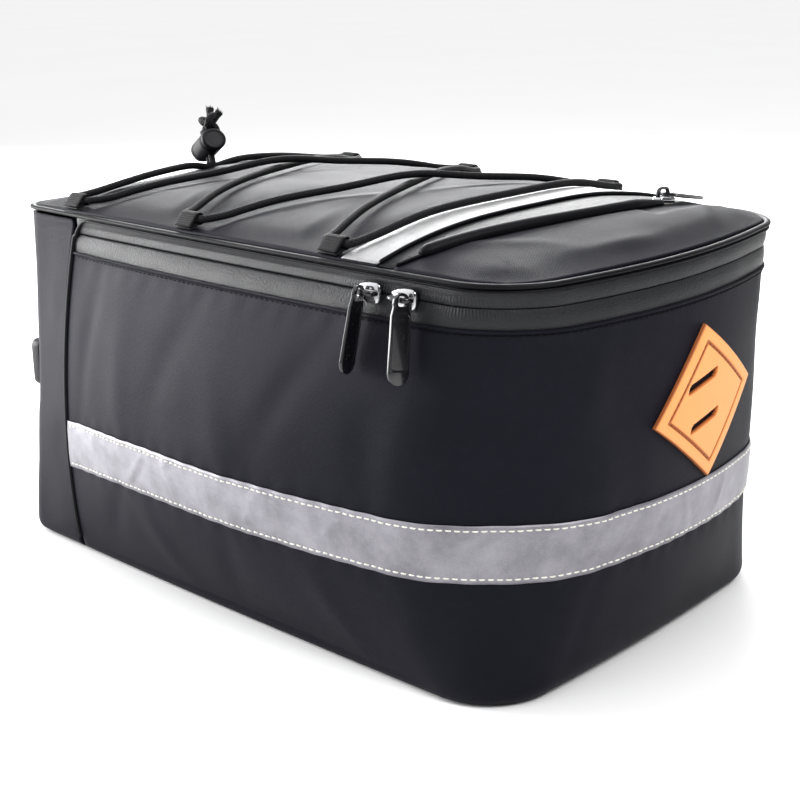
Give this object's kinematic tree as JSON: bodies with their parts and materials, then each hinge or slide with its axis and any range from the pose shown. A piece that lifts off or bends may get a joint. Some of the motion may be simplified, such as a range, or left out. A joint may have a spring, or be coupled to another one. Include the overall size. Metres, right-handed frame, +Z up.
{
  "type": "bicycle rear seat bag",
  "caption": "Soft box bag for a bicycle's rear carrier, with a zipped lid, a lid pocket, laced elastic cord with a sprung lock, reflective tape and a rubber patch.",
  "frame": {"origin": "centre of the base's underside, below the middle of the lid", "axes": "+X to the rear of the bicycle, where the rubber patch is; +Y to the far side; +Z up, with the base on the ground"},
  "size_m": [0.3599, 0.258, 0.2249],
  "materials": {
    "coated_fabric": "matt charcoal coated weave",
    "coated_zip_tape": "satin rubber film",
    "binding": "black woven binding",
    "reflective_tape": "silver beaded tape",
    "moulded_rubber": "matt orange",
    "webbing": "ribbed black webbing",
    "elastic_cord": "braided black cover",
    "moulded_plastic": "satin black",
    "coated_metal": "glossy black"
  },
  "bodies": {
    "bag": {"base_panel": "coated_fabric", "side_wall": "coated_fabric", "front_panel": "coated_fabric", "lid_front_panel": "coated_fabric", "lid_pocket_panel": "coated_fabric", "lid_zip_lower": "coated_zip_tape", "lid_zip_upper": "coated_zip_tape", "pocket_zip_band": "coated_zip_tape", "front_seam_near": "binding", "front_seam_far": "binding", "lid_piping": "binding", "pocket_lip": "binding", "reflective_band": "reflective_tape", "lid_reflective_strip": "reflective_tape", "rubber_patch": "moulded_rubber", "front_strap": "webbing", "cord_loop_near_1": "webbing", "cord_loop_near_2": "webbing", "cord_loop_near_3": "webbing", "cord_loop_far_1": "webbing", "cord_loop_far_2": "webbing", "cord_loop_far_3": "webbing", "bungee_cord": "elastic_cord", "cord_knot": "elastic_cord", "cord_lock_barrel": "moulded_plastic", "buckle_socket": "moulded_plastic", "buckle_plug": "moulded_plastic", "lid_slider_front": "coated_metal", "lid_slider_rear": "coated_metal", "pocket_slider": "coated_metal"},
    "front_pull": {"lid_pull_front": "coated_metal"},
    "rear_pull": {"lid_pull_rear": "coated_metal"},
    "flat_pull": {"pocket_pull": "coated_metal"},
    "plunger": {"cord_lock_plunger": "moulded_plastic"}
  },
  "joints": [
    {"name": "front_pull_swing", "type": "hinge", "parent": "bag", "child": "front_pull", "pos_m": [0.0903, -0.1132, 0.17316], "axis": [-0.9999, -0.0135, 0], "range_deg": [-2, 100]},
    {"name": "rear_pull_swing", "type": "hinge", "parent": "bag", "child": "rear_pull", "pos_m": [0.11371, -0.11288, 0.17299], "axis": [-0.9999, -0.0153, 0], "range_deg": [-2, 100]},
    {"name": "flat_pull_swing", "type": "hinge", "parent": "bag", "child": "flat_pull", "pos_m": [0.12052, 0.06361, 0.19356], "axis": [0.9926, 0.1201, 0.0189], "range_deg": [0, 105]},
    {"name": "plunger_press", "type": "slide", "parent": "bag", "child": "plunger", "axis": [0.8504, -0.2875, 0.4407], "range_m": [0, 0.004], "stiffness_N_per_m": 300, "springref_m": -0.008}
  ]
}
